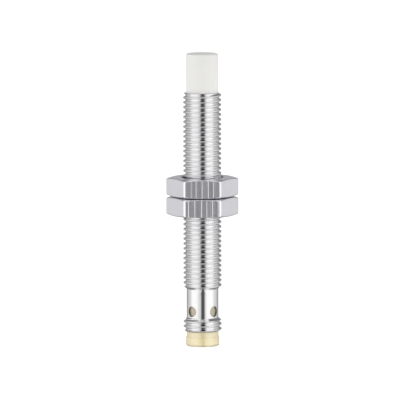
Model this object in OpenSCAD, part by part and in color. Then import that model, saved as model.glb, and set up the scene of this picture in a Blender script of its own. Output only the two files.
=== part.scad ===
// Inductive proximity sensor: M8 x 1 threaded barrel, plain sensing cap, two lock nuts and a
// three-pin M8 connector. The origin is on the axis, at the connector end. +Z points to the
// sensing face. The threads are drawn as plain cylinders at their outside diameter.

/* [Barrel] */
// Length from the connector end to the sensing face
total_h = 60; // [56:1:80]
// Outside diameter of both threads
thread_d = 8; // [7.9:0.05:8]
// Thread pitch, which is also the travel of a nut in one turn
thread_pitch = 1; // [0.75:0.25:1]
// Length of the connector thread
connector_thread_h = 2.8; // [2.5:0.05:3]
// Length of the smooth neck between the two threads
neck_h = 5.9; // [5:0.05:7]
// Diameter of the neck
neck_d = 6.5; // [6.4:0.05:6.7]
// Bore through the barrel
bore_d = 5.8; // [5.7:0.05:5.9]
// Length of the chamfer at the free ends of the threads
thread_chamfer = 0.4; // [0.3:0.05:0.6]

/* [Status windows] */
// Number of windows round the neck
window_count = 4; // [2:1:4]
// Diameter of a window
window_d = 2.1; // [1.6:0.1:2.2]
// Height of the windows' centres
window_z = 7.2; // [7.1:0.05:7.6]
// Angle of the first window, counted from +X
window_turn = 47; // [0:1:90]

/* [Sensing head] */
// Visible length of the cap
cap_h = 8; // [7:0.5:10]
// Diameter of the cap
cap_d = 6.6; // [6.4:0.05:6.7]
// Thickness of the sensing face
face_t = 0.5; // [0.4:0.05:0.6]
// Length of the plug that the cap has inside the barrel
cap_plug_h = 3; // [2:0.5:4]
// Diameter of the cavity in the cap
cap_cavity_d = 5; // [4.9:0.05:5.1]
// Height of the ferrite core
core_h = 2.25; // [2:0.05:2.5]

/* [Lock nuts] */
// Distance across the flats
nut_af = 12.9; // [12.8:0.1:13]
// Distance across the rounded corners
nut_corner_d = 14.7; // [14.5:0.05:14.75]
// Thickness of a nut
nut_h = 3.8; // [3.5:0.05:4]
// Height of the lower nut's underside
lower_nut_z = 26.9; // [24:0.05:28]
// Gap between the two nuts
nut_gap = 0.15; // [0.05:0.05:0.3]
// Diameter of the flat ring left on each face by the chamfer
nut_face_d = 12.8; // [12:0.1:12.8]
// Slope of the chamfer at the corners
nut_chamfer_angle = 16; // [15:1:30]
// Diameter of the countersink at each end of the nut's bore
nut_countersink_d = 8.8; // [8.7:0.1:9.2]

/* [Connector] */
// Length of the insulating nose
nose_h = 3.05; // [3:0.05:3.2]
// Diameter of the snap bead on the nose
nose_d = 6.75; // [6.6:0.05:6.8]
// Diameter of the nose above the bead
nose_waist_d = 6.5; // [6.4:0.05:6.55]
// Height of the bead
bead_h = 1.9; // [1.5:0.1:2.2]
// Rounding of the nose's end
nose_round = 0.35; // [0.2:0.05:0.4]
// Diameter of the socket that the plug enters
socket_d = 5.1; // [5:0.05:5.15]
// Depth of the socket
socket_depth = 5.4; // [5:0.1:5.6]
// Height of the insert's inner end
carrier_h = 9.2; // [9:0.1:9.4]
// Diameter of a contact pin
pin_d = 1; // [0.9:0.05:1]
// Radius of the circle that the pins stand on
pin_circle_r = 1.4; // [1.3:0.05:1.4]
// Distance from the nose's end to the pins' tips
pin_recess = 1; // [0.8:0.1:1.5]

/* [Circuit board] */
// Width of the board
board_w = 4.8; // [4.4:0.1:4.8]
// Thickness of the board
board_t = 0.6; // [0.4:0.1:0.6]
// Height of the board's lower edge
board_z = 10.4; // [10.2:0.1:10.6]

/* [Hidden] */
$fn = 64;
eps = 0.01;

// Heights of the barrel's steps, and of the tapers between the neck and the threads
connector_thread_top = nose_h + connector_thread_h;
neck_top = connector_thread_top + neck_h;
barrel_top = total_h - cap_h;
neck_taper_h = 0.6;

// Radii of the threads: outside, and at the root of the 60 degree profile
thread_r = thread_d / 2;
thread_depth = 0.613 * thread_pitch;
root_r = thread_r - thread_depth;
neck_r = neck_d / 2;
bore_r = bore_d / 2;

// Clearances: between parts glued or pressed together, and of the moving nuts
fit_gap = 0.02;
running_gap = 0.03;

// Lock nuts
upper_nut_z = lower_nut_z + nut_h + nut_gap;
nut_thread_wall = 0.17;
nut_thread_inner_r = thread_r + running_gap;
nut_thread_outer_r = nut_thread_inner_r + nut_thread_wall;
nut_bore_r = nut_thread_outer_r + running_gap;
nut_chamfer_h = (nut_corner_d - nut_face_d) / 2 * tan(nut_chamfer_angle);
nut_countersink_h = nut_countersink_d / 2 - nut_bore_r;

// One turn of the thread is cut as a ring next to each nut. It parts the free stretches of
// the barrel from the stretch that the nuts stand on.
groove_half_w = 0.4375 * thread_pitch;
groove_root_w = 0.125 * thread_pitch;
groove_gap = 0.1;
upper_groove_z = upper_nut_z + nut_h + groove_gap + groove_half_w;
lower_groove_z = lower_nut_z - groove_gap - groove_half_w;

// Sensing head
cap_r = cap_d / 2;
cap_edge = 0.25;
cavity_r = cap_cavity_d / 2;
cavity_top = total_h - face_t;
plug_z = barrel_top - cap_plug_h;
core_r = cavity_r - 0.05;
core_wall = 0.4;
core_base_t = 0.6;
core_post_r = 0.8;
core_top = cavity_top - 0.05;
core_z = core_top - core_h;
core_floor = core_z + core_base_t;
bobbin_inner_r = core_post_r + 0.05;
bobbin_sleeve_r = bobbin_inner_r + 0.15;
bobbin_r = core_r - core_wall - 0.05;
bobbin_flange_t = 0.15;
bobbin_z = core_floor + fit_gap;
bobbin_top = core_top - 0.05;
winding_r = bobbin_r - 0.1;
winding_z = bobbin_z + bobbin_flange_t;
winding_top = bobbin_top - bobbin_flange_t;
wire_r = 0.1;
lead_x = core_r - core_wall / 2 - 0.05;
lead_y = -board_t / 2 - wire_r;
lead_top = winding_z + 0.3;
lead_slot_w = 0.5;

// Circuit board and what stands on it
board_top = core_z - 0.6;
lead_end = board_top - 1.2;
front_y = -board_t / 2;
back_y = board_t / 2;
chip = [3, 0.9, 4];
chip_z = board_z + 28;
chip_standoff = 0.1;
chip_lead_count = 4;
chip_lead_pitch = 0.9;
lead_w = 0.3;
lead_t = 0.12;
lead_reach = 0.6;
transistor = [1.3, 1, 2.9];
transistor_z = board_z + 20.5;
diode_r = 0.7;
diode_l = 3.4;
diode_cap_l = 0.5;
diode_z = board_z + 12;
capacitor = [1.25, 0.9, 2];
capacitor_heights = [9, 16, 23, 34];
resistor = [0.8, 0.45, 1.6];
front_resistor_heights = [6, 17.5, 35.5];
back_resistor_heights = [12.5, 19.5, 29];
led = [1.6, 0.6, 0.8];
led_z = board_z + 0.5;
potting_z = board_z + 3;
potting_top = plug_z - 0.2;

// Connector
carrier_r = bore_r - fit_gap;
socket_r = socket_d / 2;
key = [0.6, 0.4];
key_recess = 0.5;
pin_r = pin_d / 2;
pin_collar_r = 0.7;
pin_tail_r = 0.3;
pin_bend_z = carrier_h + 0.6;
pin_tail_top = board_z + 2.4;
solder_r = 0.5;
solder_film = 0.05;
solder_z = pin_tail_top - 0.6;
pin_tail_y = board_t / 2 + solder_film + pin_tail_r;
pin_1_angle = 210;
pin_3_angle = 330;
pin_4_angle = 90;
o_ring_r = 0.2;
o_ring_z = carrier_h - 0.45;
o_ring_path_r = carrier_r - o_ring_r;

// Disc whose end edge at z = 0 is rounded, as an outline for rotate_extrude
module rounded_outline(r, h, edge) {
    square([r - edge, h]);
    translate([0, edge])
        square([r, h - edge]);
    translate([r - edge, edge])
        circle(r = edge);
}

module ring(outer_r, inner_r, h) {
    difference() {
        cylinder(r = outer_r, h = h);
        translate([0, 0, -eps])
            cylinder(r = inner_r, h = h + 2 * eps);
    }
}

// Box centred in x that stands on the board's front or back at height z
module on_front(size, z, standoff = 0) {
    translate([-size[0] / 2, front_y - standoff - size[1], z])
        cube(size);
}

module on_back(size, z, standoff = 0) {
    translate([-size[0] / 2, back_y + standoff, z])
        cube(size);
}

// One turn of the thread as a ring of its 60 degree profile
module thread_ring_cut(z) {
    translate([0, 0, z])
        rotate_extrude()
            polygon([
                [root_r, -groove_root_w / 2],
                [root_r, groove_root_w / 2],
                [thread_r, groove_half_w],
                [thread_r + 1, groove_half_w],
                [thread_r + 1, -groove_half_w],
                [thread_r, -groove_half_w]
            ]);
}

module housing_outline() {
    polygon([
        [bore_r, nose_h],
        [thread_r - thread_chamfer, nose_h],
        [thread_r, nose_h + thread_chamfer],
        [thread_r, connector_thread_top - neck_taper_h],
        [neck_r, connector_thread_top],
        [neck_r, neck_top],
        [thread_r, neck_top + neck_taper_h],
        [thread_r, barrel_top - thread_chamfer],
        [thread_r - thread_chamfer, barrel_top],
        [bore_r, barrel_top]
    ]);
}

module housing_tube() {
    color("lightgray")
        difference() {
            rotate_extrude()
                housing_outline();
            for (i = [0 : window_count - 1])
                translate([0, 0, window_z])
                    rotate([0, 90, window_turn + i * 360 / window_count])
                        translate([0, 0, bore_r - 0.5])
                            cylinder(d = window_d, h = 1.5);
            thread_ring_cut(upper_groove_z);
            thread_ring_cut(lower_groove_z);
        }
}

module sensing_cap() {
    color("whitesmoke")
        difference() {
            union() {
                translate([0, 0, total_h])
                    mirror([0, 0, 1])
                        rotate_extrude()
                            rounded_outline(cap_r, cap_h, cap_edge);
                translate([0, 0, plug_z])
                    cylinder(r = bore_r - fit_gap, h = cap_plug_h + eps);
            }
            translate([0, 0, plug_z - eps])
                cylinder(r = cavity_r, h = cavity_top - plug_z + eps);
        }
}

module ferrite_core() {
    color("dimgray")
        difference() {
            translate([0, 0, core_z])
                cylinder(r = core_r, h = core_h);
            translate([0, 0, core_floor])
                ring(core_r - core_wall, core_post_r, core_h);
            for (side = [-1, 1])
                translate([side * lead_x - 0.35, lead_y - lead_slot_w / 2, core_z - eps])
                    cube([0.7, lead_slot_w, lead_top + 0.2 - core_z]);
        }
}

module coil_bobbin() {
    color("tan") {
        translate([0, 0, bobbin_z])
            ring(bobbin_sleeve_r, bobbin_inner_r, bobbin_top - bobbin_z);
        for (z = [bobbin_z, bobbin_top - bobbin_flange_t])
            translate([0, 0, z])
                ring(bobbin_r, bobbin_inner_r, bobbin_flange_t);
    }
}

module coil_winding() {
    color("peru")
        translate([0, 0, winding_z])
            ring(winding_r, bobbin_sleeve_r, winding_top - winding_z);
}

// Each lead leaves the winding sideways, turns down through a slot in the core and runs on
// to the board's front
module coil_leads() {
    color("chocolate")
        for (side = [-1, 1])
            difference() {
                union() {
                    translate([side * lead_x, lead_y, lead_end])
                        cylinder(r = wire_r, h = lead_top - lead_end);
                    translate([side * lead_x, lead_y, lead_top])
                        sphere(r = wire_r);
                    translate([side * lead_x, lead_y, lead_top])
                        rotate([0, -side * 90, 0])
                            cylinder(r = wire_r, h = lead_x - bobbin_sleeve_r);
                }
                translate([0, 0, winding_z])
                    cylinder(r = winding_r, h = winding_top - winding_z);
            }
}

module circuit_board() {
    color("seagreen")
        translate([-board_w / 2, -board_t / 2, board_z])
            cube([board_w, board_t, board_top - board_z]);
}

module evaluation_chip() {
    color("darkslategray")
        on_front(chip, chip_z, chip_standoff);
}

// A bent lead: out of the case, down to the board and out again along it
module bent_lead(case_half_w, shoulder_h) {
    translate([case_half_w, front_y - shoulder_h, 0])
        cube([lead_reach / 2, lead_t, lead_w]);
    translate([case_half_w + lead_reach / 2 - lead_t, front_y - shoulder_h, 0])
        cube([lead_t, shoulder_h, lead_w]);
    translate([case_half_w + lead_reach / 2 - lead_t, front_y - lead_t, 0])
        cube([lead_reach / 2 + lead_t, lead_t, lead_w]);
}

module chip_leads() {
    first = chip_z + (chip[2] - (chip_lead_count - 1) * chip_lead_pitch - lead_w) / 2;
    color("silver")
        for (i = [0 : chip_lead_count - 1], side = [0, 1])
            mirror([side, 0, 0])
                translate([0, 0, first + i * chip_lead_pitch])
                    bent_lead(chip[0] / 2, chip[1] / 2 + chip_standoff);
}

module output_transistor() {
    color("darkslategray")
        on_front(transistor, transistor_z, chip_standoff);
}

module transistor_leads() {
    middle = transistor_z + (transistor[2] - lead_w) / 2;
    color("silver") {
        for (step = [-0.95, 0.95])
            translate([0, 0, middle + step])
                bent_lead(transistor[0] / 2, transistor[1] / 2 + chip_standoff);
        mirror([1, 0, 0])
            translate([0, 0, middle])
                bent_lead(transistor[0] / 2, transistor[1] / 2 + chip_standoff);
    }
}

module protection_diode() {
    color("firebrick")
        translate([0, front_y - diode_r, diode_z]) {
            translate([0, 0, diode_cap_l])
                cylinder(r = diode_r - 0.05, h = diode_l - 2 * diode_cap_l);
            for (z = [0, diode_l - diode_cap_l])
                translate([0, 0, z])
                    cylinder(r = diode_r, h = diode_cap_l);
        }
}

module capacitors() {
    color("burlywood")
        for (h = capacitor_heights)
            on_back(capacitor, board_z + h);
}

module resistors() {
    color("black") {
        for (h = front_resistor_heights)
            on_front(resistor, board_z + h);
        for (h = back_resistor_heights)
            on_back(resistor, board_z + h);
    }
}

module status_led_front() {
    color("gold")
        on_front(led, led_z);
}

module status_led_back() {
    color("gold")
        translate([(board_w - led[0]) / 2, 0, 0])
            on_back(led, led_z);
}

module contact_carrier() {
    color("palegoldenrod")
        difference() {
            union() {
                rotate_extrude()
                    rounded_outline(nose_d / 2, bead_h, nose_round);
                cylinder(d = nose_waist_d, h = nose_h);
                cylinder(r = carrier_r, h = carrier_h);
            }
            difference() {
                translate([0, 0, -eps])
                    cylinder(r = socket_r, h = socket_depth + eps);
                translate([-key[0] / 2, -socket_r - eps, key_recess])
                    cube([key[0], key[1] + eps, socket_depth]);
            }
            for (angle = [pin_1_angle, pin_3_angle, pin_4_angle])
                rotate(angle)
                    translate([pin_circle_r, 0, socket_depth - eps])
                        cylinder(r = pin_collar_r, h = carrier_h - socket_depth + 2 * eps);
            translate([0, 0, o_ring_z])
                rotate_extrude()
                    translate([o_ring_path_r - o_ring_r, -o_ring_r - fit_gap])
                        square([1, 2 * (o_ring_r + fit_gap)]);
        }
}

// A contact pin: round tip, straight contact length, thicker collar in the insert, and a
// solder tail that bends to the face of the board on its side
module contact_pin(angle) {
    x = pin_circle_r * cos(angle);
    y = pin_circle_r * sin(angle);
    tail_y = sign(y) * pin_tail_y;
    color("goldenrod") {
        translate([x, y, pin_recess + pin_r])
            sphere(r = pin_r);
        translate([x, y, pin_recess + pin_r])
            cylinder(r = pin_r, h = socket_depth - pin_recess - pin_r);
        translate([x, y, socket_depth])
            cylinder(r = pin_collar_r, h = carrier_h - socket_depth);
        translate([x, y, carrier_h - eps])
            cylinder(r = pin_tail_r, h = pin_bend_z - carrier_h + eps);
        translate([x, y, pin_bend_z])
            sphere(r = pin_tail_r);
        translate([x, y, pin_bend_z])
            rotate([sign(y) * 90, 0, 0])
                cylinder(r = pin_tail_r, h = abs(y - tail_y));
        translate([x, tail_y, pin_bend_z])
            sphere(r = pin_tail_r);
        translate([x, tail_y, pin_bend_z])
            cylinder(r = pin_tail_r, h = pin_tail_top - pin_bend_z);
    }
}

module contact_pin_1() contact_pin(pin_1_angle);
module contact_pin_3() contact_pin(pin_3_angle);
module contact_pin_4() contact_pin(pin_4_angle);

module solder_joints() {
    color("silver")
        for (angle = [pin_1_angle, pin_3_angle, pin_4_angle])
            difference() {
                translate([pin_circle_r * cos(angle), sign(sin(angle)) * back_y, solder_z])
                    sphere(r = solder_r);
                circuit_board();
                translate([pin_circle_r * cos(angle), sign(sin(angle)) * pin_tail_y, pin_bend_z])
                    cylinder(r = pin_tail_r, h = pin_tail_top - pin_bend_z);
            }
}

module carrier_o_ring() {
    color("black")
        translate([0, 0, o_ring_z])
            rotate_extrude()
                translate([o_ring_path_r, 0])
                    circle(r = o_ring_r);
}

module potting_compound() {
    color("slategray")
        difference() {
            translate([0, 0, potting_z])
                cylinder(r = bore_r - fit_gap, h = potting_top - potting_z);
            circuit_board();
            evaluation_chip();
            chip_leads();
            output_transistor();
            transistor_leads();
            protection_diode();
            capacitors();
            resistors();
        }
}

// Outline of half a nut: the flat face ring, the sloping corner chamfers and the corners
module nut_envelope() {
    polygon([
        [0, 0],
        [nut_face_d / 2, 0],
        [nut_corner_d / 2, nut_chamfer_h],
        [nut_corner_d / 2, nut_h - nut_chamfer_h],
        [nut_face_d / 2, nut_h],
        [0, nut_h]
    ]);
}

module countersink() {
    translate([0, 0, -eps])
        cylinder(r1 = nut_countersink_d / 2 + eps, r2 = nut_bore_r, h = nut_countersink_h + eps);
}

module lock_nut(z) {
    color("gainsboro")
        translate([0, 0, z])
            difference() {
                intersection() {
                    cylinder(d = nut_af / cos(30), h = nut_h, $fn = 6);
                    rotate_extrude()
                        nut_envelope();
                }
                translate([0, 0, -eps])
                    cylinder(r = nut_bore_r, h = nut_h + 2 * eps);
                countersink();
                translate([0, 0, nut_h])
                    mirror([0, 0, 1])
                        countersink();
            }
}

// The threaded lining of a nut's bore, between the countersinks
module nut_thread(z) {
    color("darkgray")
        translate([0, 0, z + nut_countersink_h])
            ring(nut_thread_outer_r, nut_thread_inner_r, nut_h - 2 * nut_countersink_h);
}

module upper_nut() lock_nut(upper_nut_z);
module lower_nut() lock_nut(lower_nut_z);
module upper_nut_thread() nut_thread(upper_nut_z);
module lower_nut_thread() nut_thread(lower_nut_z);

housing_tube();
sensing_cap();
ferrite_core();
coil_bobbin();
coil_winding();
coil_leads();
circuit_board();
evaluation_chip();
chip_leads();
output_transistor();
transistor_leads();
protection_diode();
capacitors();
resistors();
status_led_front();
status_led_back();
contact_carrier();
contact_pin_1();
contact_pin_3();
contact_pin_4();
solder_joints();
carrier_o_ring();
potting_compound();
upper_nut();
lower_nut();
upper_nut_thread();
lower_nut_thread();
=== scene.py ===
"""An inductive proximity sensor: an M8 x 1 barrel with two lock nuts, a plain cap and a pin connector.

Shapes are worked out in millimetres and stored in metres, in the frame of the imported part.
"""

import math

import bmesh
import bpy
import numpy as np
from mathutils import Matrix, Vector


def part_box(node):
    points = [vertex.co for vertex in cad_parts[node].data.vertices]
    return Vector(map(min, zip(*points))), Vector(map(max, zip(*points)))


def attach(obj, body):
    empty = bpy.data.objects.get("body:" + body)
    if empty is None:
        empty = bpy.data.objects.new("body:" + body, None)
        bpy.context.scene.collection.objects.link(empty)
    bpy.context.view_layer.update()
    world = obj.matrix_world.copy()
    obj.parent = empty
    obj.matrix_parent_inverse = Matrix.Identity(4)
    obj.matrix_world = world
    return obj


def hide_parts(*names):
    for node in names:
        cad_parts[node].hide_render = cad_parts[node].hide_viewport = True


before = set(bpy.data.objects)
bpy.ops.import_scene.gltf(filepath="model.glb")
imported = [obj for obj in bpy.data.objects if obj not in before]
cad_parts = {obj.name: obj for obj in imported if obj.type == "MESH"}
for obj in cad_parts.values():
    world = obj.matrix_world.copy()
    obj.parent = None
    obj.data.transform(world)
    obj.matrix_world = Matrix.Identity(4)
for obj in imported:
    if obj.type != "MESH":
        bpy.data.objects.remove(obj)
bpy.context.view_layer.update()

MM = 0.001

# ---------------------------------------------------------------- sizes, in millimetres


def node_mm(name):
    """Lowest and highest corner of a CAD node."""
    low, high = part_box(name)
    return low / MM, high / MM


tube_low, tube_high = node_mm("housing_tube")
cap_low, cap_high = node_mm("sensing_cap")
_, carrier_high = node_mm("contact_carrier")

FULL_TURN = 2 * math.pi
SIXTH_TURN = math.radians(60)
TWELFTH_TURN = math.radians(30)
COLUMNS = 96  # columns of points round the axis
TOUCHING = 0.0005  # points closer than this are one point
LONGEST_CUT = 0.45  # of the shorter stretch beside a corner

PITCH = 1.0
NOMINAL_R = tube_high.x
THREAD_R = NOMINAL_R - 0.1  # the crests are turned a little below the nominal size
ROOT_R = NOMINAL_R - 0.613 * PITCH
FLANK = (THREAD_R - ROOT_R) * math.tan(math.radians(30))  # height of one flank of a 60 degree thread
CREST_FLAT = 0.25 * PITCH
CREST_ROUND = 0.1
ROOT_ROUND = 0.05
CREST_PHASE = 0.5 * PITCH  # height of a crest above a whole turn, where it crosses +X

NECK_R = 3.25
NECK_LOW = 5.85
NECK_HIGH = 11.75
NECK_ROWS = 24
BORE_R = 2.9
THREAD_CLEAR_R = THREAD_R + 0.2  # a limit at this radius leaves the thread whole
SHOULDER_SLOPE = 1.25  # radius that a thread gains in a unit of height where it grows out of the neck
RUN_OUT = (THREAD_CLEAR_R - NECK_R) / SHOULDER_SLOPE
END_R = NOMINAL_R - 0.4  # where the 45 degree chamfer meets an end of the barrel
END_CHAMFER = THREAD_CLEAR_R - END_R
EDGE_BLEND = 0.05

WINDOW_COUNT = 4
WINDOW_R = 1.05
WINDOW_Z = 7.2
WINDOW_TURN = math.radians(47)
WINDOW_BEVEL = 0.07
WINDOW_BEVEL_MIDDLE = 0.02  # the bevel's middle is this far from the window's wall and from the neck

PLUG_R = BORE_R - 0.02  # what the cap and the insert push into the barrel
CAP_R = 3.3
CAP_EDGE = 0.38
CAP_FACE_R = CAP_R - 1
CAP_DISH = 0.01  # the sensing face sinks this much to its centre
CAVITY_R = 2.5
FACE_T = 0.5

BEAD_TOP = 1.9
WAIST_R = 3.25
INSERT_CHAMFER = 0.12
SOCKET_R = 2.55
SOCKET_DEPTH = 5.4
KEY_HALF_W = 0.3
KEY_DEPTH = 0.4
KEY_RECESS = 0.5
KEY_SLOPE = 0.05
GROOVE_DROP = 0.45  # from the insert's top to the middle of the seal's groove
GROOVE_HALF_W = 0.22
GROOVE_R = PLUG_R - 0.4
PIN_HOLE_R = 0.72
PIN_HOLE_REACH = 0.5  # how far a pin hole's cutter sticks out at both ends
PIN_HOLE_COLUMNS = 32
PIN_CIRCLE_R = 1.4
PIN_ANGLES = (210, 330, 90)

NUT_FACE_R = 6.4
NUT_FACE_MARGIN = 0.65  # the least width of the sloping rim round a face
NUT_FACE_EDGE = 0.05
NUT_CHAMFER = math.tan(math.radians(16))
NUT_EDGE = 0.22
NUT_COUNTERSINK_R = 4.4
NUT_THREAD_GAP = 0.06
FLAT_STEPS = 16
CORNER_STEPS = 8

WIRE = 0.1
WINDING_INNER_R = 1.02
WIRE_ROWS = 6  # rows of points to one turn of wire
WINDING_COLUMNS = 72

# ---------------------------------------------------------------- mesh building


def rounded(outline, steps=3):
    """The (radius, height) points of an open outline of (radius, height, cut).

    A corner with a cut becomes a curve that starts one cut before the corner and ends one cut after it.
    """
    points = [(r, z) for r, z, _ in outline]
    result = [points[0]]
    for before, corner, after, (_, _, cut) in zip(points, points[1:], points[2:], outline[1:]):
        a, b, c = (np.array(p, float) for p in (before, corner, after))
        back, on = a - b, c - b
        room = LONGEST_CUT * min(np.linalg.norm(back), np.linalg.norm(on))
        reach = min(cut, room)
        if reach <= 0:
            result.append(corner)
            continue
        start = b + back / np.linalg.norm(back) * reach
        end = b + on / np.linalg.norm(on) * reach
        for k in range(steps + 1):
            t = k / steps
            result.append(tuple((1 - t) ** 2 * start + 2 * t * (1 - t) * b + t**2 * end))
    result.append(points[-1])
    return result


def polar(radius, angle, z):
    return Vector((radius * math.cos(angle), radius * math.sin(angle), z))


def even_angles(count=COLUMNS):
    return [FULL_TURN * i / count for i in range(count)]


def add_skin(bm, columns, shift=0):
    """Quads between neighbouring columns of points. The last meets the first, shift rows further on."""
    grid = [[bm.verts.new(p) for p in column] for column in columns]
    for i, column in enumerate(grid):
        following = grid[(i + 1) % len(grid)]
        step = shift if i == len(grid) - 1 else 0
        for k in range(len(column) - 1 - step):
            bm.faces.new((column[k], following[k + step], following[k + 1 + step], column[k + 1]))


def add_lathe(bm, outline, count=COLUMNS):
    """Turns an outline of (radius, height) points round the axis."""
    add_skin(bm, [[polar(r, angle, z) for r, z in outline] for angle in even_angles(count)])


def add_object(bm, name):
    """Puts a built mesh into the scene as an object."""
    mesh = bpy.data.meshes.new(name)
    bm.to_mesh(mesh)
    bm.free()
    made = bpy.data.objects.new(name, mesh)
    bpy.context.scene.collection.objects.link(made)
    return made


def add_solid(bm, name):
    """Merges what touches in a mesh of millimetres, and makes it an object in metres."""
    bmesh.ops.remove_doubles(bm, verts=bm.verts, dist=TOUCHING)
    bmesh.ops.dissolve_degenerate(bm, edges=bm.edges, dist=TOUCHING)
    bmesh.ops.delete(bm, geom=[v for v in bm.verts if not v.link_faces], context="VERTS")
    bmesh.ops.recalc_face_normals(bm, faces=bm.faces)
    bmesh.ops.scale(bm, verts=bm.verts, vec=(MM, MM, MM))
    return add_object(bm, name)


def finish_piece(bm, name, body, material, sharp=35):
    """Makes the piece, with edges over sharp degrees kept sharp, and lets it ride on a CAD body."""
    piece = add_solid(bm, name)
    piece.data.shade_smooth()
    piece.data.set_sharp_from_angle(angle=math.radians(sharp))
    piece.data.materials.append(material)
    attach(piece, body)
    return piece


def soft_lower(a, b):
    """The lower of two values, with a rounded change from one to the other."""
    mix = max(EDGE_BLEND - abs(a - b), 0) / EDGE_BLEND
    return min(a, b) - mix * mix * EDGE_BLEND / 4


def soft_higher(a, b):
    return -soft_lower(-a, -b)


# ---------------------------------------------------------------- the thread


def half_turn_outline():
    """(radius, height) points of the thread from the middle of a crest to the middle of a root."""
    crest = CREST_FLAT / 2
    outline = [
        (THREAD_R, 0, 0),
        (THREAD_R, crest, CREST_ROUND),
        (ROOT_R, crest + FLANK, ROOT_ROUND),
        (ROOT_R, PITCH / 2, 0),
    ]
    return rounded(outline)


HALF_TURN = half_turn_outline()
HALF_HEIGHTS = [z for _, z in HALF_TURN]
HALF_RADII = [r for r, _ in HALF_TURN]
TURN_HEIGHTS = HALF_HEIGHTS + [PITCH - z for z in reversed(HALF_HEIGHTS[1:-1])]


def thread_radius(z, angle):
    """Radius of the right-hand thread at a height and an angle."""
    along = (z - CREST_PHASE - PITCH * angle / FULL_TURN) % PITCH
    return float(np.interp(min(along, PITCH - along), HALF_HEIGHTS, HALF_RADII))


def add_helix(bm, angles, low, high, radius_at, turn_heights=TURN_HEIGHTS, pitch=PITCH, start=CREST_PHASE):
    """A surface whose rows climb a helix, held between two heights. radius_at takes a height and an angle."""
    first = math.floor((low - start) / pitch) - 2
    last = math.ceil((high - start) / pitch) + 2
    columns = []
    for angle in angles:
        lift = start + pitch * angle / FULL_TURN
        heights = [turn * pitch + h + lift for turn in range(first, last) for h in turn_heights]
        held = [min(max(z, low), high) for z in heights]
        columns.append([polar(radius_at(z, angle), angle, z) for z in held])
    add_skin(bm, columns, len(turn_heights))


# ---------------------------------------------------------------- barrel


def limited_thread(heights, radii):
    """The thread's radius by height and angle, held under a limit that changes with the height."""

    def radius_at(z, angle):
        return soft_lower(thread_radius(z, angle), float(np.interp(z, heights, radii)))

    return radius_at


main_thread = limited_thread(
    (NECK_HIGH, NECK_HIGH + RUN_OUT, tube_high.z - END_CHAMFER, tube_high.z),
    (NECK_R, THREAD_CLEAR_R, THREAD_CLEAR_R, END_R),
)
connector_thread = limited_thread(
    (tube_low.z, tube_low.z + END_CHAMFER, NECK_LOW - RUN_OUT, NECK_LOW),
    (END_R, THREAD_CLEAR_R, THREAD_CLEAR_R, NECK_R),
)


def neck_border():
    """(angle, height) points round one window's share of the neck, the angle counted from its middle."""
    share = FULL_TURN / WINDOW_COUNT
    steps = COLUMNS // WINDOW_COUNT
    across = [share * (i / steps - 0.5) for i in range(steps + 1)]
    along = [NECK_LOW + (NECK_HIGH - NECK_LOW) * i / NECK_ROWS for i in range(NECK_ROWS + 1)]
    border = [(a, NECK_LOW) for a in across[:-1]]
    border += [(share / 2, z) for z in along[:-1]]
    border += [(a, NECK_HIGH) for a in reversed(across[1:])]
    border += [(-share / 2, z) for z in reversed(along[1:])]
    return border


def add_window(bm, middle):
    """One window's share of the neck, with the round window through its wall."""
    shares = [0, 0.06, 0.16, 0.32, 0.55, 0.78, 1]  # of the way from the window to the border
    bevel = [
        (WINDOW_R, NECK_R - WINDOW_BEVEL),
        (WINDOW_R + WINDOW_BEVEL_MIDDLE, NECK_R - WINDOW_BEVEL_MIDDLE),
    ]
    columns = []
    for border_angle, border_z in neck_border():
        turn = math.atan2(border_z - WINDOW_Z, border_angle * NECK_R)

        def wall_point(hole_r, radius, share=0.0):
            angle = math.asin(hole_r * math.cos(turn) / radius)
            z = WINDOW_Z + hole_r * math.sin(turn)
            return polar(radius, middle + angle + share * (border_angle - angle), z + share * (border_z - z))

        column = [wall_point(WINDOW_R, BORE_R, share) for share in reversed(shares)]
        column += [wall_point(hole_r, radius) for hole_r, radius in bevel]
        column += [wall_point(WINDOW_R + WINDOW_BEVEL, NECK_R, share) for share in shares]
        columns.append(column)
    add_skin(bm, columns)


def make_barrel(material):
    """The barrel: two threads, the neck with its windows and the bore."""
    angles = even_angles()
    bm = bmesh.new()
    for low, high, radius_at, end in (
        (NECK_HIGH, tube_high.z, main_thread, tube_high.z),
        (tube_low.z, NECK_LOW, connector_thread, tube_low.z),
    ):
        add_helix(bm, angles, low, high, radius_at)
        add_skin(bm, [[polar(radius_at(end, a), a, end), polar(BORE_R, a, end)] for a in angles])
        add_lathe(bm, [(BORE_R, low), (BORE_R, high)])
    for i in range(WINDOW_COUNT):
        add_window(bm, WINDOW_TURN + i * FULL_TURN / WINDOW_COUNT)
    piece = finish_piece(bm, "threaded_barrel", "sensor_body", material)
    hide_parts("housing_tube")


# ---------------------------------------------------------------- lock nuts


def flat_half_angle(apothem, fillet):
    """Angle from the middle of a flat to where the rounded corner begins."""
    return math.atan((apothem - fillet) * math.tan(TWELFTH_TURN) / apothem)


def nut_angles(apothem, fillet):
    """Angles of the nut's columns: even steps along each flat and closer ones round each corner."""
    flat_half = flat_half_angle(apothem, fillet)
    corner_half = TWELFTH_TURN - flat_half
    flat_ratios = [2 * i / FLAT_STEPS - 1 for i in range(FLAT_STEPS)]
    corner_ratios = [2 * i / CORNER_STEPS - 1 for i in range(CORNER_STEPS)]
    angles = []
    for corner in range(6):
        middle = corner * SIXTH_TURN
        angles += [middle + corner_half * ratio for ratio in corner_ratios]
        angles += [middle + TWELFTH_TURN + math.atan(math.tan(flat_half) * ratio) for ratio in flat_ratios]
    return angles


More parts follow.
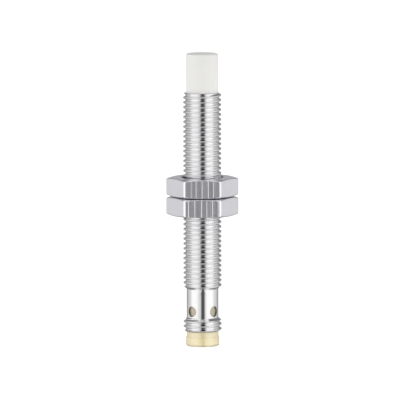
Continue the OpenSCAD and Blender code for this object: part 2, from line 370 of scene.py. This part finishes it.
def hexagon_radius(angle, apothem, fillet):
    """Distance from the axis to a hexagon with rounded corners, the corners at +X and every 60 degrees."""
    from_corner = (angle + TWELFTH_TURN) % SIXTH_TURN - TWELFTH_TURN
    if abs(from_corner) >= TWELFTH_TURN - flat_half_angle(apothem, fillet):
        return apothem / math.cos(TWELFTH_TURN - abs(from_corner))
    to_centre = (apothem - fillet) / math.cos(TWELFTH_TURN)
    across = to_centre * math.sin(from_corner)
    return to_centre * math.cos(from_corner) + math.sqrt(max(fillet**2 - across**2, 0))


def make_nut(place, material):
    """The upper or the lower lock nut, with the thread in its bore."""
    node = place + "_nut"
    lining = node + "_thread"
    low, high = node_mm(node)
    apothem = high.y
    stretch = 1 / math.cos(TWELFTH_TURN)
    fillet = (apothem * stretch - high.x) / (stretch - 1)

    def bore_radius(z, angle):
        depth = min(z - low.z, high.z - z)
        return soft_higher(thread_radius(z, angle) + NUT_THREAD_GAP, NUT_COUNTERSINK_R - depth)

    angles = nut_angles(apothem, fillet)
    bm = bmesh.new()
    add_helix(bm, angles, low.z, high.z, bore_radius)
    columns = []
    for angle in angles:
        outer = hexagon_radius(angle, apothem, fillet)
        drop = (outer - NUT_FACE_R) * NUT_CHAMFER
        face_r = min(NUT_FACE_R, outer - NUT_FACE_MARGIN)
        outline = [
            (bore_radius(low.z, angle), low.z, 0),
            (face_r, low.z, NUT_FACE_EDGE),
            (outer, low.z + drop, NUT_EDGE),
            (outer, high.z - drop, NUT_EDGE),
            (face_r, high.z, NUT_FACE_EDGE),
            (bore_radius(high.z, angle), high.z, 0),
        ]
        columns.append([polar(r, angle, z) for r, z in rounded(outline, steps=4)])
    add_skin(bm, columns)
    piece = finish_piece(bm, place + "_lock_nut", node + "_body", material, sharp=50)
    weighted = piece.modifiers.new("flat_faces", "WEIGHTED_NORMAL")
    weighted.keep_sharp = True
    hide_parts(node, lining)


# ---------------------------------------------------------------- cap and connector insert


def make_cap(material):
    """The hollow cap over the sensing coil, with its plug in the barrel."""
    top = cap_high.z
    seat = tube_high.z
    outline = [
        (0, top - FACE_T, 0),
        (CAVITY_R, top - FACE_T, 0.15),
        (CAVITY_R, cap_low.z, 0.05),
        (PLUG_R, cap_low.z, 0.1),
        (PLUG_R, seat, 0),
        (CAP_R, seat, 0.04),
        (CAP_R, top, CAP_EDGE),
        (CAP_FACE_R, top, 0),
        (0, top - CAP_DISH, 0),
    ]
    bm = bmesh.new()
    add_lathe(bm, rounded(outline, steps=5))
    piece = finish_piece(bm, "sensing_cap_shell", "sensor_body", material)
    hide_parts("sensing_cap")


def cut_with(piece, cutters):
    """Cuts other meshes out of a piece's mesh for good."""
    for cutter in cutters:
        cut = piece.modifiers.new("cut", "BOOLEAN")
        cut.operation = "DIFFERENCE"
        cut.solver = "EXACT"
        cut.object = cutter
    graph = bpy.context.evaluated_depsgraph_get()
    mesh = bpy.data.meshes.new_from_object(piece.evaluated_get(graph))
    piece.modifiers.clear()
    piece.data = mesh
    for cutter in cutters:
        bpy.data.objects.remove(cutter)


def pin_hole_cutter(degrees, low, high):
    """A rod that is as wide as a pin's hole, at an angle on the pin circle."""
    bm = bmesh.new()
    outline = [(0, low), (PIN_HOLE_R, low), (PIN_HOLE_R, high), (0, high)]
    add_lathe(bm, outline, PIN_HOLE_COLUMNS)
    bmesh.ops.translate(bm, verts=bm.verts, vec=polar(PIN_CIRCLE_R, math.radians(degrees), 0))
    return add_solid(bm, "pin_hole")


def insert_angles():
    """Even angles, with closer ones at the edges of the key rib on the -Y side of the socket."""
    edge = math.asin(KEY_HALF_W / SOCKET_R)
    middle = 1.5 * math.pi
    extra = [middle + side * edge * share for side in (-1, 1) for share in (0.9, 1.1)]
    return sorted(even_angles() + extra)


def make_insert(material):
    """The insulating insert: its body in the barrel, its nose and its socket with a key and pin holes."""
    top = carrier_high.z
    outer = carrier_high.x
    groove_low = top - GROOVE_DROP - GROOVE_HALF_W
    groove_high = top - GROOVE_DROP + GROOVE_HALF_W
    columns = []
    for angle in insert_angles():
        across = abs(SOCKET_R * math.cos(angle))
        on_key = math.sin(angle) < 0 and across < KEY_HALF_W
        key_r = SOCKET_R - (KEY_DEPTH if on_key else 0)
        outline = [
            (0, top, 0),
            (PLUG_R, top, 0.12),
            (PLUG_R, groove_high, 0.03),
            (GROOVE_R, groove_high, 0),
            (GROOVE_R, groove_low, 0),
            (PLUG_R, groove_low, 0.03),
            (PLUG_R, tube_low.z, 0),
            (WAIST_R, tube_low.z, 0.05),
            (WAIST_R, BEAD_TOP + INSERT_CHAMFER, 0.08),
            (outer, BEAD_TOP - INSERT_CHAMFER, 0.08),
            (outer, 0, 0.34),
            (SOCKET_R + INSERT_CHAMFER, 0, 0.05),
            (SOCKET_R, INSERT_CHAMFER, 0.05),
            (SOCKET_R, KEY_RECESS, 0),
            (key_r, KEY_RECESS + KEY_SLOPE, 0.02),
            (key_r, SOCKET_DEPTH, 0.15),
            (0, SOCKET_DEPTH, 0),
        ]
        columns.append([polar(r, angle, z) for r, z in rounded(outline, steps=5)])
    bm = bmesh.new()
    add_skin(bm, columns)
    piece = finish_piece(bm, "connector_insert", "sensor_body", material)
    low = SOCKET_DEPTH - PIN_HOLE_REACH
    cut_with(piece, [pin_hole_cutter(degrees, low, top + PIN_HOLE_REACH) for degrees in PIN_ANGLES])
    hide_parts("contact_carrier")


# ---------------------------------------------------------------- coil


def make_winding(material):
    """Turns of enamelled wire, wound as a fine helix."""
    low, high = node_mm("coil_winding")
    outer = high.x - WIRE / 2
    rise = (high.z - low.z) / int((high.z - low.z) / WIRE)

    def wire_radius(z, angle):
        swell = abs(math.sin(math.pi * ((z - low.z) / rise - angle / FULL_TURN)))
        return outer + WIRE / 2 * swell

    angles = even_angles(WINDING_COLUMNS)
    rows = [rise * part / WIRE_ROWS for part in range(WIRE_ROWS)]
    bm = bmesh.new()
    add_helix(bm, angles, low.z, high.z, wire_radius, rows, rise, low.z)
    columns = []
    for angle in angles:
        outline = [
            (wire_radius(low.z, angle), low.z),
            (WINDING_INNER_R, low.z),
            (WINDING_INNER_R, high.z),
            (wire_radius(high.z, angle), high.z),
        ]
        columns.append([polar(r, angle, z) for r, z in outline])
    add_skin(bm, columns)
    piece = finish_piece(bm, "wound_wire", "sensor_body", material, sharp=60)
    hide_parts("coil_winding")


# ---------------------------------------------------------------- materials


def add_node(tree, kind, inputs=None, **settings):
    """A shader node with its settings, and with values or links for its inputs."""
    made = tree.nodes.new("ShaderNode" + kind)
    for key, value in settings.items():
        setattr(made, key, value)
    for key, value in (inputs or {}).items():
        if isinstance(value, bpy.types.NodeSocket):
            tree.links.new(value, made.inputs[key])
        else:
            made.inputs[key].default_value = value
    return made


def new_material(name, **sockets):
    """A material, its node tree and its shader. Sockets are named with _ for a space."""
    material = bpy.data.materials.new(name)
    material.use_nodes = True
    tree = material.node_tree
    shader = tree.nodes["Principled BSDF"]
    for key, value in sockets.items():
        shader.inputs[key.replace("_", " ")].default_value = value
    return material, tree, shader


def object_point(tree, stretch=(1, 1, 1), offset=0):
    """The surface point in the piece's own coordinates, in millimetres times a stretch, plus an offset."""
    place = add_node(tree, "TexCoord").outputs["Object"]
    inputs = {"Vector": place, "Scale": [s / MM for s in stretch], "Location": (offset, offset, 0)}
    return add_node(tree, "Mapping", inputs).outputs["Vector"]


def parts_of(tree, vector):
    """The X, Y and Z of a vector."""
    return add_node(tree, "SeparateXYZ", {"Vector": vector}).outputs


def calculate(tree, operation, *values):
    return add_node(tree, "Math", dict(enumerate(values)), operation=operation).outputs[0]


def axis_distance(tree):
    """Distance from the axis, in millimetres."""
    x, y, _ = parts_of(tree, object_point(tree))
    squares = calculate(tree, "ADD", calculate(tree, "MULTIPLY", x, x), calculate(tree, "MULTIPLY", y, y))
    return calculate(tree, "SQRT", squares)


def noise(tree, point, scale=1.0, detail=3.0, roughness=0.55):
    inputs = {"Vector": point, "Scale": scale, "Detail": detail, "Roughness": roughness}
    return add_node(tree, "TexNoise", inputs).outputs["Fac"]


def spread_to(tree, value, low, high, start=0.3, end=0.7, **settings):
    """Maps start..end of a value, where most of a noise lies by default, to low..high."""
    inputs = {"Value": value, "From Min": start, "From Max": end, "To Min": low, "To Max": high}
    return add_node(tree, "MapRange", inputs, **settings).outputs["Result"]


def grey(level):
    return level, level, level


def blend(tree, factor, first, second):
    """A mix of two colours. Each is a socket or a triple."""
    colours = {6: first, 7: second}  # the two inputs of a Mix node that are colours
    inputs = {key: c if isinstance(c, bpy.types.NodeSocket) else (*c, 1) for key, c in colours.items()}
    return add_node(tree, "Mix", {"Factor": factor, **inputs}, data_type="RGBA").outputs[2]


def darken(tree, colour, factor):
    mix = add_node(tree, "VectorMath", {0: colour, "Scale": factor}, operation="SCALE")
    return mix.outputs["Vector"]


def finish_surface(tree, shader, colour, roughness, height, depth):
    """Gives a shader its colour, its roughness and a bump whose height of 1 is depth millimetres."""
    bump = add_node(tree, "Bump", {"Height": height, "Distance": depth * MM, "Strength": 1.0})
    tree.links.new(colour, shader.inputs["Base Color"])
    tree.links.new(roughness, shader.inputs["Roughness"])
    tree.links.new(bump.outputs["Normal"], shader.inputs["Normal"])


def barrel_nickel():
    """Bright nickel on turned brass: fine marks round the axis, faint clouds, duller crests and roots, and
    painted shade darkening the bore and the walls of the windows.
    """
    material, tree, shader = new_material("barrel_nickel", Metallic=1.0, IOR=1.8)
    clouds = noise(tree, object_point(tree), scale=0.45)
    plate = blend(tree, clouds, (0.78, 0.775, 0.785), (0.835, 0.83, 0.835))
    radius = axis_distance(tree)
    crest_band = THREAD_R - 0.12, THREAD_R - 0.05
    # Painted shade: the bore and the walls of the windows, inside the neck's radius, are darkened.
    painted_bore_shade = spread_to(tree, radius, 0.25, 1, NECK_R - 0.08, NECK_R - 0.02)
    dull_crest = spread_to(tree, radius, 1, 0.93, *crest_band)
    colour = darken(tree, plate, calculate(tree, "MULTIPLY", painted_bore_shade, dull_crest))
    marks = noise(tree, object_point(tree, (0.3, 0.3, 22)), detail=4)
    crest = spread_to(tree, radius, 0, 0.38, *crest_band)
    above_neck = spread_to(tree, radius, 0, 0.13, NECK_R + 0.03, ROOT_R - 0.02)
    below_flank = spread_to(tree, radius, 1, 0, ROOT_R + 0.01, ROOT_R + 0.04)
    worn = calculate(tree, "ADD", crest, calculate(tree, "MULTIPLY", above_neck, below_flank))
    rough = calculate(tree, "ADD", spread_to(tree, marks, 0.02, 0.08), worn)
    finish_surface(tree, shader, colour, rough, marks, 0.0003)
    return material


def nut_nickel(name, offset):
    """Satin nickel: fine lines down the sides, scratches on two of them, turning rings on the end faces, and
    painted shade darkening the countersinks and the bore.

    The offset gives each nut a pattern of its own.
    """
    material, tree, shader = new_material(name, Metallic=1.0, IOR=1.8)
    radius = axis_distance(tree)
    clouds = noise(tree, object_point(tree), scale=0.5)
    plate = blend(tree, clouds, (0.90, 0.89, 0.94), (0.97, 0.96, 1.0))
    # Painted shade: the countersinks and the bore are darkened.
    painted_bore_shade = spread_to(tree, radius, 0.15, 1, NUT_COUNTERSINK_R - 0.15, NUT_COUNTERSINK_R + 0.03)
    normal = parts_of(tree, add_node(tree, "TexCoord").outputs["Normal"])
    on_face = calculate(tree, "GREATER_THAN", calculate(tree, "ABSOLUTE", normal["Z"]), 0.8)
    on_front = calculate(tree, "GREATER_THAN", calculate(tree, "ABSOLUTE", normal["Y"]), 0.9)
    lines = noise(tree, object_point(tree, (2.4, 2.4, 0.012), offset), detail=3, roughness=0.6)
    lanes_per_mm = 0.85
    across = parts_of(tree, object_point(tree, (lanes_per_mm, lanes_per_mm, 1), offset))["X"]
    waves = noise(tree, object_point(tree, (lanes_per_mm, lanes_per_mm, 0.004), offset), detail=1)
    lane = calculate(tree, "FRACT", calculate(tree, "ADD", across, waves))
    from_middle = calculate(tree, "ABSOLUTE", calculate(tree, "SUBTRACT", lane, 0.5))
    scratch = calculate(tree, "MULTIPLY", spread_to(tree, from_middle, 0.24, 0, 0, 0.05), on_front)
    fine = calculate(tree, "MULTIPLY", lines, spread_to(tree, on_front, 0.35, 0.6, 0, 1))
    drawn = calculate(tree, "SUBTRACT", fine, scratch)
    outward = add_node(tree, "CombineXYZ", {"X": radius}).outputs["Vector"]
    rings = calculate(tree, "MULTIPLY", noise(tree, outward, scale=3.5, detail=2), 0.3)
    height = add_node(tree, "Mix", {"Factor": on_face, "A": drawn, "B": rings}).outputs["Result"]
    rough = spread_to(tree, lines, 0.3, 0.34)
    finish_surface(tree, shader, darken(tree, plate, painted_bore_shade), rough, height, 0.07)
    return material


def cap_plastic():
    """Off-white plastic that light enters a little, with a fine matt grain."""
    depths = {"Subsurface_Radius": (0.001, 0.0008, 0.0006), "Subsurface_Scale": 1.0}
    material, tree, shader = new_material("cap_plastic", Subsurface_Weight=0.15, IOR=1.45, **depths)
    clouds = noise(tree, object_point(tree), scale=0.3, detail=2)
    colour = blend(tree, clouds, (0.875, 0.87, 0.84), (0.885, 0.875, 0.845))
    grain = noise(tree, object_point(tree), scale=14, detail=3)
    finish_surface(tree, shader, colour, spread_to(tree, grain, 0.45, 0.58), grain, 0.003)
    return material


def insert_plastic():
    """Pale yellow plastic that light enters, with a gloss from the mould, and painted shade inside the barrel
    and along the bottom of the nose.
    """
    depths = {"Subsurface_Radius": (0.0012, 0.0009, 0.0004), "Subsurface_Scale": 1.0}
    gloss = {"Specular_IOR_Level": 1.0, "IOR": 1.85}
    material, tree, shader = new_material("insert_plastic", Subsurface_Weight=0.4, **depths, **gloss)
    clouds = noise(tree, object_point(tree), scale=0.5, detail=2)
    plastic = blend(tree, clouds, (0.79, 0.69, 0.41), (0.83, 0.73, 0.45))
    height = parts_of(tree, object_point(tree))["Z"]
    # Painted shade: the insert is darker inside the barrel, where it is seen through the windows.
    painted_barrel_shade = spread_to(tree, height, 1, 0.55, tube_low.z + 0.05, tube_low.z + 0.3)
    # Painted contact shadow: the nose darkens towards its bottom, where it meets the floor.
    painted_contact_shadow = spread_to(tree, height, 0.4, 1, 0, 0.5)
    colour = darken(tree, plastic, calculate(tree, "MULTIPLY", painted_barrel_shade, painted_contact_shadow))
    grain = noise(tree, object_point(tree), scale=9, detail=3)
    finish_surface(tree, shader, colour, spread_to(tree, grain, 0.1, 0.17), grain, 0.002)
    return material


def simple_finish(name, first, second, scale, rough, **sockets):
    """A finish whose colour, gloss and height all vary with one noise pattern."""
    material, tree, shader = new_material(name, **sockets)
    pattern = noise(tree, object_point(tree), scale=scale)
    colour = blend(tree, spread_to(tree, pattern, 0, 1), first, second)
    finish_surface(tree, shader, colour, spread_to(tree, pattern, *rough), pattern, 0.004)
    return material


def board_laminate():
    """Green solder mask over copper tracks on a glass-fibre board."""
    material, tree, shader = new_material("board_laminate", IOR=1.5)
    inputs = {"Vector": object_point(tree, (1, 0, 1)), "Scale": 1.6, "Mortar Size": 0.06}
    tracks = add_node(tree, "TexBrick", inputs).outputs["Fac"]
    mask = blend(tree, tracks, (0.015, 0.16, 0.07), (0.05, 0.30, 0.12))
    weave = noise(tree, object_point(tree), scale=6)
    finish_surface(tree, shader, mask, spread_to(tree, weave, 0.25, 0.4), tracks, 0.02)
    return material


# Each plain finish: its two colours, the scale of its pattern, its range of roughness and other sockets.
PLAIN_FINISHES = {
    "gold_plate": ((0.86, 0.62, 0.26), (0.93, 0.72, 0.36), 3, (0.14, 0.26), {"Metallic": 1.0}),
    "tinned_metal": ((0.62, 0.62, 0.62), (0.78, 0.78, 0.77), 4, (0.22, 0.45), {"Metallic": 1.0}),
    "enamelled_copper": ((0.55, 0.18, 0.06), (0.72, 0.27, 0.09), 5, (0.2, 0.35), {"Metallic": 0.9}),
    "led_resin": ((0.92, 0.72, 0.16), (0.95, 0.8, 0.32), 3, (0.08, 0.2), {"Transmission_Weight": 0.4}),
    "moulded_case": ((0.02, 0.02, 0.022), (0.04, 0.04, 0.042), 12, (0.45, 0.7), {}),
    "ferrite": ((0.05, 0.05, 0.055), (0.11, 0.11, 0.115), 8, (0.4, 0.65), {}),
    "bobbin_plastic": ((0.60, 0.47, 0.30), (0.68, 0.55, 0.38), 5, (0.35, 0.5), {}),
    "diode_glass": ((0.45, 0.08, 0.02), (0.6, 0.15, 0.04), 2, (0.06, 0.15), {}),
    "ceramic": ((0.45, 0.30, 0.16), (0.55, 0.39, 0.23), 7, (0.3, 0.5), {}),
    "resistor_body": ((0.02, 0.02, 0.025), (0.05, 0.05, 0.06), 7, (0.2, 0.4), {}),
    "seal_rubber": ((0.015, 0.015, 0.015), (0.03, 0.03, 0.03), 10, (0.5, 0.75), {}),
    "potting_resin": ((0.03, 0.03, 0.04), (0.06, 0.06, 0.07), 1.5, (0.1, 0.3), {}),
}
# The finish of each CAD node that stays in view.
NODE_FINISHES = {
    "ferrite_core": "ferrite",
    "coil_bobbin": "bobbin_plastic",
    "coil_leads": "enamelled_copper",
    "circuit_board": "board_laminate",
    "evaluation_chip": "moulded_case",
    "chip_leads": "tinned_metal",
    "output_transistor": "moulded_case",
    "transistor_leads": "tinned_metal",
    "protection_diode": "diode_glass",
    "capacitors": "ceramic",
    "resistors": "resistor_body",
    "status_led_front": "led_resin",
    "status_led_back": "led_resin",
    "contact_pin_1": "gold_plate",
    "contact_pin_3": "gold_plate",
    "contact_pin_4": "gold_plate",
    "solder_joints": "tinned_metal",
    "carrier_o_ring": "seal_rubber",
    "potting_compound": "potting_resin",
}


def make_finishes():
    """The plain finishes and the board's, by name."""
    finishes = {name: simple_finish(name, *look, **more) for name, (*look, more) in PLAIN_FINISHES.items()}
    finishes["board_laminate"] = board_laminate()
    return finishes


def dress_nodes(finishes):
    """Gives each CAD node that stays in view its material."""
    for name, finish in NODE_FINISHES.items():
        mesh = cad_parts[name].data
        mesh.materials.clear()
        mesh.materials.append(finishes[finish])


# ---------------------------------------------------------------- studio

# Brightness of the studio round the object, by degrees from the camera's side towards +X: two wide soft
# boxes with a dark gap between them where the camera stands, and grey walls behind the object.
STUDIO_RING = (
    (-180, 0.56),
    (-158, 0.34),
    (-145, 0.38),
    (-126, 0.66),
    (-100, 0.80),
    (-79, 1.22),
    (-45, 1.22),
    (-30, 0.98),
    (-14, 0.74),
    (-9, 0.30),
    (-6, 0.10),
    (9, 0.10),
    (13, 0.23),
    (20, 0.85),
    (34, 1.24),
    (74, 1.26),
    (89, 0.95),
    (111, 0.78),
    (126, 0.64),
    (145, 0.38),
    (158, 0.34),
    (180, 0.56),
)
# The same for light that comes steeply from above or below, where the dark gap is wider and darker.
STEEP_RING = (
    (-180, 0.24),
    (-126, 0.24),
    (-92, 0.72),
    (-79, 1.20),
    (-40, 1.32),
    (-19, 0.92),
    (-12, 0.40),
    (-7, 0.03),
    (16, 0.03),
    (21, 0.36),
    (30, 1.10),
    (42, 1.40),
    (76, 1.34),
    (96, 0.54),
    (126, 0.24),
    (180, 0.24),
)
STUDIO_PEAK = 1.4
CEILING = 0.71
UNDERSIDE = 0.3
BACKDROP_NEAR = 0.72  # the backdrop on the camera's side; on the far side it is 1
BACKDROP_FADE = -0.25, 0  # the Y of a direction of length 1 between the two

# Where one part of the studio changes into the next, as the height of a direction of length 1.
STEEP_BAND = 0.17, 0.45
CEILING_BAND = 0.93, 0.97
UNDERSIDE_BAND = -0.9, -0.96

FLOOR_R = 12  # metres
FLOOR_SIDES = 64
FLOOR_GLOW = 0.36, 0.82
FLOOR_FADE = -190, -95  # the Y in millimetres from which and to which the floor's glow rises


def ring_light(tree, along, brightness_at):
    """Grey level, relative to the peak, by the direction round the object."""
    ramp = add_node(tree, "ValToRGB", {"Fac": along})
    stops = ramp.color_ramp.elements
    while len(stops) > 1:
        stops.remove(stops[0])
    for i, (degrees, brightness) in enumerate(brightness_at):
        place = (degrees + 180) / 360
        stop = stops[0] if i == 0 else stops.new(place)
        stop.position = place
        stop.color = (*grey(brightness / STUDIO_PEAK), 1)
    return ramp.outputs["Color"]


def make_studio():
    """Light from all round, with a dimmer ceiling and underside. The camera sees a pale backdrop instead."""
    world = bpy.data.worlds.new("studio")
    bpy.context.scene.world = world
    world.use_nodes = True
    tree = world.node_tree
    tree.nodes.clear()
    x, y, z = parts_of(tree, add_node(tree, "TexCoord").outputs["Generated"])
    azimuth = calculate(tree, "ARCTAN2", x, calculate(tree, "MULTIPLY", y, -1.0))
    along = spread_to(tree, azimuth, 0, 1, -math.pi, math.pi)
    steep = spread_to(tree, calculate(tree, "ABSOLUTE", z), 0, 1, *STEEP_BAND)
    ring = blend(tree, steep, ring_light(tree, along, STUDIO_RING), ring_light(tree, along, STEEP_RING))
    upward = spread_to(tree, z, 0, 1, *CEILING_BAND)
    downward = spread_to(tree, z, 0, 1, *UNDERSIDE_BAND)
    roofed = blend(tree, upward, ring, grey(CEILING / STUDIO_PEAK))
    shell = blend(tree, downward, roofed, grey(UNDERSIDE / STUDIO_PEAK))
    light = add_node(tree, "Background", {"Color": shell, "Strength": STUDIO_PEAK})
    pale = spread_to(tree, y, BACKDROP_NEAR, 1.0, *BACKDROP_FADE)
    backdrop = add_node(tree, "Background", {"Color": (1, 1, 1, 1), "Strength": pale})
    seen = add_node(tree, "LightPath").outputs["Is Camera Ray"]
    choice = add_node(tree, "MixShader", {0: seen, 1: light.outputs[0], 2: backdrop.outputs[0]})
    add_node(tree, "OutputWorld", {"Surface": choice.outputs[0]})


def make_floor():
    """A pale table top that glows, less on the camera's side, and that is clear from below."""
    sockets = {"Roughness": 0.9, "Specular_IOR_Level": 0.0, "Emission_Color": (1, 1, 1, 1)}
    material, tree, shader = new_material("pale_floor", **sockets)
    shade = noise(tree, object_point(tree), scale=0.002)
    tree.links.new(blend(tree, shade, grey(0.5), grey(0.52)), shader.inputs["Base Color"])
    y = parts_of(tree, object_point(tree))["Y"]
    glow = spread_to(tree, y, *FLOOR_GLOW, *FLOOR_FADE, interpolation_type="SMOOTHSTEP")
    tree.links.new(glow, shader.inputs["Emission Strength"])
    below = add_node(tree, "NewGeometry").outputs["Backfacing"]
    clear = add_node(tree, "BsdfTransparent").outputs["BSDF"]
    one_sided = add_node(tree, "MixShader", {0: below, 1: shader.outputs["BSDF"], 2: clear})
    tree.links.new(one_sided.outputs["Shader"], tree.nodes["Material Output"].inputs["Surface"])
    bm = bmesh.new()
    bmesh.ops.create_circle(bm, cap_ends=True, radius=FLOOR_R, segments=FLOOR_SIDES)
    floor = add_object(bm, "floor")
    floor.data.materials.append(material)
    floor.visible_glossy = False


def make_camera():
    """A long lens in front of the object and a little above it, turned very slightly about its own axis."""
    distance = 1.2
    elevation = math.radians(6.6)
    roll = math.radians(-0.12)
    width = 0.0817  # what the picture takes in at the object
    aim = Vector((-0.00048, 0, 0.02994))
    data = bpy.data.cameras.new("camera")
    data.lens = data.sensor_width * distance / width
    data.clip_end = 50
    camera = bpy.data.objects.new("camera", data)
    camera.location = aim + Vector((0, -math.cos(elevation), math.sin(elevation))) * distance
    turn = Matrix.Rotation(math.pi / 2 - elevation, 3, "X") @ Matrix.Rotation(roll, 3, "Z")
    camera.rotation_euler = turn.to_euler()
    bpy.context.scene.collection.objects.link(camera)
    bpy.context.scene.camera = camera


# ---------------------------------------------------------------- the object in its studio

finishes = make_finishes()
dress_nodes(finishes)
make_barrel(barrel_nickel())
for place, offset in (("upper", 0), ("lower", 5.3)):
    make_nut(place, nut_nickel(place + "_nut_nickel", offset))
make_cap(cap_plastic())
make_insert(insert_plastic())
make_winding(finishes["enamelled_copper"])
make_studio()
make_floor()
make_camera()
bpy.context.scene.view_settings.view_transform = "Standard"
